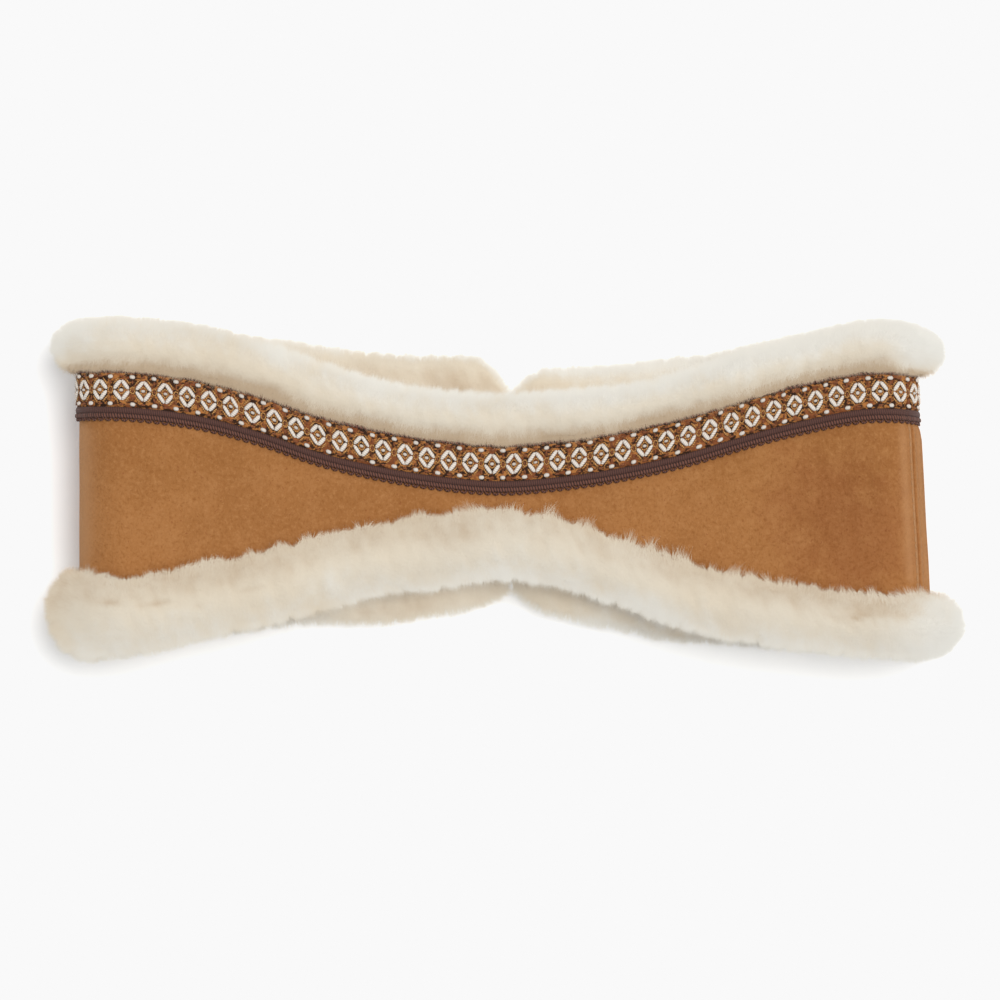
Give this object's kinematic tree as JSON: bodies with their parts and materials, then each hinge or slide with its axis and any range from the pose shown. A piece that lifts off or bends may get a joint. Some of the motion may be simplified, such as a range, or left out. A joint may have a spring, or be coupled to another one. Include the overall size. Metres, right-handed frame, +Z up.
{
  "type": "shearling headband",
  "caption": "Closed shearling headband lying flat: suede band with a wool lining, rolled wool edges and a woven trim, open through the middle for a head.",
  "frame": {"origin": "middle of the underside, on the surface that the band lies on", "axes": "+X to the right along the front, +Y towards the band's upper edge, +Z up, out of the front"},
  "size_m": [0.3028, 0.1134, 0.0503],
  "materials": {
    "suede": "napped camel suede, fully matte, slightly mottled",
    "wool": "dense cream sheepskin pile, soft and matte",
    "woven_ribbon": "woven ribbon in golden brown with raised off-white and dark threads",
    "dark_edging": "corded dark chocolate edging with a scalloped edge"
  },
  "bodies": {
    "root": {"front_panel": "suede", "back_left_panel": "suede", "back_right_panel": "suede", "front_fleece": "wool", "back_left_fleece": "wool", "back_right_fleece": "wool", "upper_wool_roll": "wool", "lower_wool_roll": "wool", "trim_top_edging": "dark_edging", "trim_ribbon": "woven_ribbon", "trim_picot_edging": "dark_edging"}
  },
  "joints": []
}
